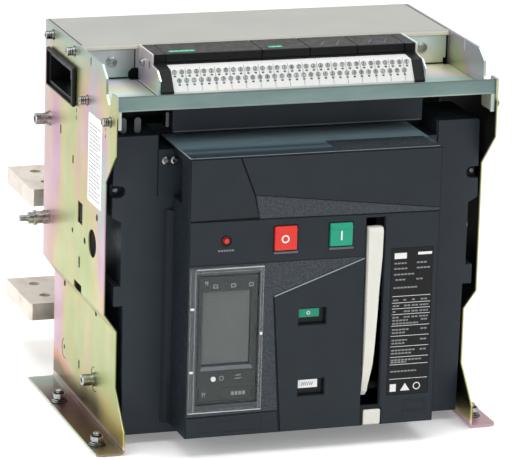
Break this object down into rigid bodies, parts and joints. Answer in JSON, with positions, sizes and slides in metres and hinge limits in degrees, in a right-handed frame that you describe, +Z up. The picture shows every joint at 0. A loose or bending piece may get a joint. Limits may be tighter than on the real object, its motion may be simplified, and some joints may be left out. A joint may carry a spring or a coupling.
{
  "type": "air circuit breaker",
  "caption": "Fixed low-voltage air circuit breaker between folded zinc side plates, with a trip unit, charging lever, push buttons and rear busbar terminals.",
  "frame": {"origin": "centre of the breaker's outer box, on the plane of the feet", "axes": "+Z up, -Y towards the operator's front cover, +Y towards the busbar terminals, +X to the right seen from the front"},
  "size_m": [0.497, 0.469, 0.4196],
  "materials": {
    "yellow_zinc": "steel sheet with an iridescent yellow chromate over zinc",
    "clear_zinc": "steel sheet with a bluish clear zinc coating",
    "warm_grey_paint": "satin light grey paint",
    "charcoal_plastic": "fine textured charcoal moulding",
    "black_plastic": "satin black moulding",
    "white_plastic": "satin white moulding",
    "ivory_plastic": "satin ivory moulding",
    "red_plastic": "satin red moulding",
    "green_plastic": "satin green moulding",
    "clear_plastic": "clear polished polycarbonate",
    "screen_glass": "grey display window",
    "tinned_copper": "dull tin plating over copper bar",
    "brown_resin": "moulded thermoset resin",
    "plain_steel": "bright zinc plated steel",
    "spring_steel": "dark oiled spring wire",
    "copper": "bare copper"
  },
  "bodies": {
    "frame": {"side_plate_left": "yellow_zinc", "side_plate_right": "yellow_zinc", "terminal_tray": "clear_zinc", "block_end_plate_left": "clear_zinc", "block_end_plate_right": "clear_zinc", "top_cover_plate": "warm_grey_paint", "terminal_housing": "black_plastic", "module_cover_1": "black_plastic", "module_cover_2": "black_plastic", "module_cover_3": "black_plastic", "module_cover_4": "black_plastic", "module_cover_5": "black_plastic", "side_grip_left": "black_plastic", "side_grip_right": "black_plastic", "rating_plate": "black_plastic", "rating_plug": "black_plastic", "charging_motor": "black_plastic", "current_transformer_1": "black_plastic", "current_transformer_2": "black_plastic", "current_transformer_3": "black_plastic", "secondary_terminal_block": "white_plastic", "auxiliary_contacts": "white_plastic", "rear_base_moulding": "brown_resin", "arc_chute_1": "brown_resin", "arc_chute_2": "brown_resin", "arc_chute_3": "brown_resin", "front_base_moulding": "charcoal_plastic", "upper_hood": "charcoal_plastic", "front_cover": "charcoal_plastic", "trip_unit": "charcoal_plastic", "trip_screen": "screen_glass", "lever_stop_block": "ivory_plastic", "lever_pin": "plain_steel", "mechanism_side_left": "plain_steel", "mechanism_side_right": "plain_steel", "spring_seat": "plain_steel", "closing_coil": "plain_steel", "opening_coil": "plain_steel", "earth_stud_left": "plain_steel", "earth_stud_right": "plain_steel", "closing_spring": "spring_steel", "upper_terminal_1": "tinned_copper", "upper_terminal_2": "tinned_copper", "upper_terminal_3": "tinned_copper", "lower_terminal_1": "tinned_copper", "lower_terminal_2": "tinned_copper", "lower_terminal_3": "tinned_copper"},
    "trip_cover": {"trip_cover": "clear_plastic"},
    "off_button": {"off_button": "red_plastic"},
    "on_button": {"on_button": "green_plastic"},
    "reset_button": {"reset_button": "red_plastic"},
    "charging_lever": {"charging_lever": "ivory_plastic"},
    "main_shaft": {"main_shaft": "plain_steel"},
    "moving_contact_1": {"moving_contact_1": "copper"},
    "moving_contact_2": {"moving_contact_2": "copper"},
    "moving_contact_3": {"moving_contact_3": "copper"},
    "contact_flag": {"contact_flag": "green_plastic"},
    "cam_shaft": {"cam_shaft": "plain_steel"},
    "spring_crosshead": {"spring_crosshead": "plain_steel"},
    "spring_flag": {"spring_flag": "white_plastic"}
  },
  "joints": [
    {"name": "trip_cover_hinge", "type": "hinge", "parent": "frame", "child": "trip_cover", "pos_m": [-0.1385, -0.2307, 0.132], "axis": [0, 0, -1], "range_deg": [0, 110]},
    {"name": "off_button_push", "type": "slide", "parent": "frame", "child": "off_button", "axis": [0, 1, 0], "range_m": [0, 0.004], "stiffness_N_per_m": 400},
    {"name": "on_button_push", "type": "slide", "parent": "frame", "child": "on_button", "axis": [0, 1, 0], "range_m": [0, 0.004], "stiffness_N_per_m": 400},
    {"name": "reset_button_push", "type": "slide", "parent": "frame", "child": "reset_button", "axis": [0, 1, 0], "range_m": [0, 0.003], "stiffness_N_per_m": 400},
    {"name": "charging_lever_pull", "type": "hinge", "parent": "frame", "child": "charging_lever", "pos_m": [0.0715, -0.2145, 0.064], "axis": [1, 0, 0], "range_deg": [0, 75]},
    {"name": "main_shaft_turn", "type": "hinge", "parent": "frame", "child": "main_shaft", "pos_m": [0.0015, -0.1195, 0.14], "axis": [1, 0, 0], "range_deg": [0, 50]},
    {"name": "moving_contact_1_swing", "type": "hinge", "parent": "frame", "child": "moving_contact_1", "pos_m": [-0.1185, -0.046, 0.066], "axis": [-1, 0, 0], "range_deg": [0, 24]},
    {"name": "moving_contact_2_swing", "type": "hinge", "parent": "frame", "child": "moving_contact_2", "pos_m": [0.0015, -0.046, 0.066], "axis": [-1, 0, 0], "range_deg": [0, 24]},
    {"name": "moving_contact_3_swing", "type": "hinge", "parent": "frame", "child": "moving_contact_3", "pos_m": [0.1215, -0.046, 0.066], "axis": [-1, 0, 0], "range_deg": [0, 24]},
    {"name": "contact_flag_lift", "type": "slide", "parent": "frame", "child": "contact_flag", "axis": [0, 0, 1], "range_m": [0, 0.02]},
    {"name": "cam_shaft_turn", "type": "hinge", "parent": "frame", "child": "cam_shaft", "pos_m": [0.0165, -0.1515, 0.118], "axis": [1, 0, 0], "range_deg": [0, 180]},
    {"name": "crosshead_down", "type": "slide", "parent": "frame", "child": "spring_crosshead", "axis": [0, 0, -1], "range_m": [0, 0.016], "stiffness_N_per_m": 40, "deforming": ["closing_spring"]},
    {"name": "spring_flag_lift", "type": "slide", "parent": "frame", "child": "spring_flag", "axis": [0, 0, 1], "range_m": [0, 0.02]}
  ],
  "couplings": [
    {"joint": "moving_contact_1_swing", "follows": "main_shaft_turn", "ratio": 0.48},
    {"joint": "moving_contact_2_swing", "follows": "main_shaft_turn", "ratio": 0.48},
    {"joint": "moving_contact_3_swing", "follows": "main_shaft_turn", "ratio": 0.48},
    {"joint": "contact_flag_lift", "follows": "main_shaft_turn", "m_per_rad": 0.022918},
    {"joint": "crosshead_down", "follows": "cam_shaft_turn", "m_per_rad": 0.005092},
    {"joint": "spring_flag_lift", "follows": "cam_shaft_turn", "m_per_rad": 0.006366}
  ]
}
